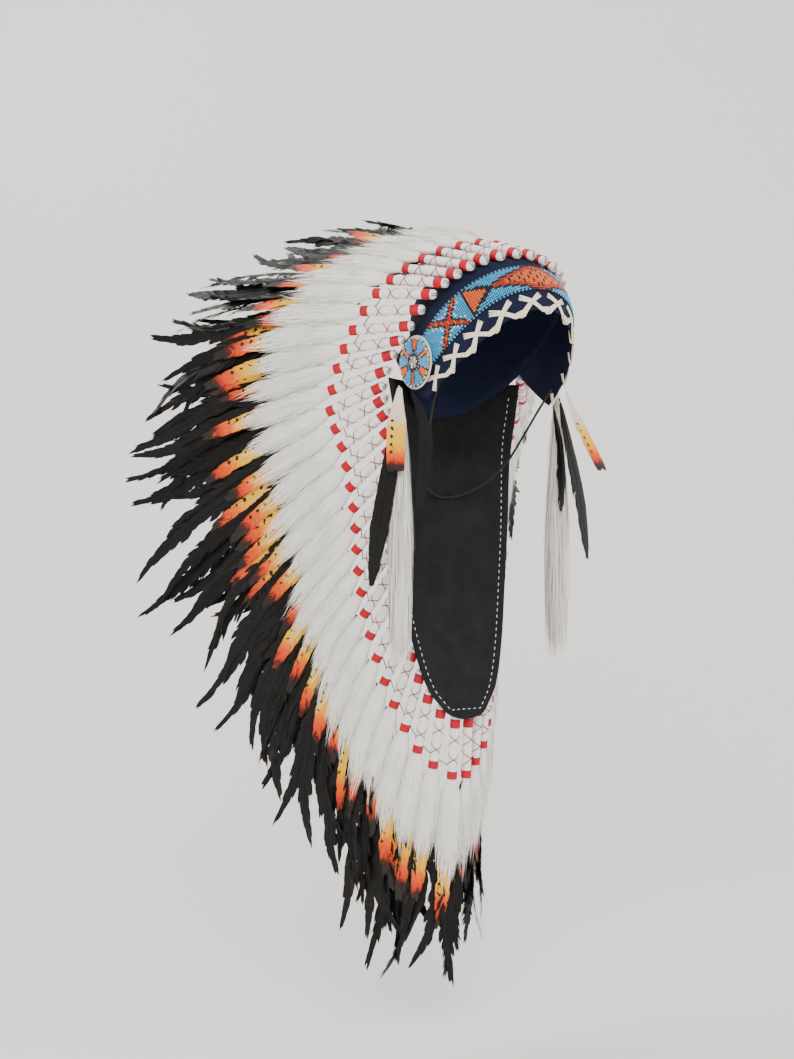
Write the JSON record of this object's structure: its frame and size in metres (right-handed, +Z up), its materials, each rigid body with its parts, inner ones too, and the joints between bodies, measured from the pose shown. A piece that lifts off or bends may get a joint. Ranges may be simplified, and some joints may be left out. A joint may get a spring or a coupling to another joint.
{
  "type": "feathered headdress",
  "caption": "Swept-back feathered headdress with beaded brow band, wrapped quills, white down, dyed and black feathers, hair drops, and a felt trailer.",
  "frame": {"origin": "inside of the cap's crown, where it rests on the top of the head", "axes": "+Z up; the wearer looks along -Y; the wearer's left is +X"},
  "size_m": [0.5693, 0.4335, 0.8874],
  "materials": {
    "navy_cloth": "plain woven navy cotton, matt",
    "black_felt": "black wool felt with white running stitches, matt",
    "glass_beads": "small glossy beads, light blue with black, red and orange",
    "pale_leather": "thin pale leather backing, matt",
    "cream_lace": "flat cream lace, satin",
    "wrap_thread": "white wrapped yarn with crimson bands and crossed crimson thread",
    "white_down": "soft white down and hair, very matt",
    "dyed_feather": "feather dyed white to yellow to orange-red with a black tip and black dots",
    "black_feather": "black tail feather with a faint sheen",
    "black_cord": "round braided black cord, matt"
  },
  "bodies": {
    "root": {"cap_crown": "navy_cloth", "brow_band": "navy_cloth", "bead_strip": "glass_beads", "edge_lacing": "cream_lace", "trailer": "black_felt", "chin_cord": "black_cord", "rosette_right": "glass_beads", "rosette_backing_right": "pale_leather", "fur_drop_right": "white_down", "drop_painted_right": "dyed_feather", "drop_long_right": "black_feather", "drop_short_right": "black_feather", "wraps_right_1": "wrap_thread", "fluffs_right_1": "white_down", "painted_right_1": "dyed_feather", "blacks_right_1": "black_feather", "wraps_right_2": "wrap_thread", "fluffs_right_2": "white_down", "painted_right_2": "dyed_feather", "blacks_right_2": "black_feather", "wraps_right_3": "wrap_thread", "fluffs_right_3": "white_down", "painted_right_3": "dyed_feather", "blacks_right_3": "black_feather", "wraps_right_4": "wrap_thread", "fluffs_right_4": "white_down", "painted_right_4": "dyed_feather", "blacks_right_4": "black_feather", "wraps_right_5": "wrap_thread", "fluffs_right_5": "white_down", "painted_right_5": "dyed_feather", "blacks_right_5": "black_feather", "rosette_left": "glass_beads", "rosette_backing_left": "pale_leather", "fur_drop_left": "white_down", "drop_painted_left": "dyed_feather", "drop_long_left": "black_feather", "drop_short_left": "black_feather", "wraps_left_1": "wrap_thread", "fluffs_left_1": "white_down", "painted_left_1": "dyed_feather", "blacks_left_1": "black_feather", "wraps_left_2": "wrap_thread", "fluffs_left_2": "white_down", "painted_left_2": "dyed_feather", "blacks_left_2": "black_feather", "wraps_left_3": "wrap_thread", "fluffs_left_3": "white_down", "painted_left_3": "dyed_feather", "blacks_left_3": "black_feather", "wraps_left_4": "wrap_thread", "fluffs_left_4": "white_down", "painted_left_4": "dyed_feather", "blacks_left_4": "black_feather", "wraps_left_5": "wrap_thread", "fluffs_left_5": "white_down", "painted_left_5": "dyed_feather", "blacks_left_5": "black_feather"}
  },
  "joints": []
}
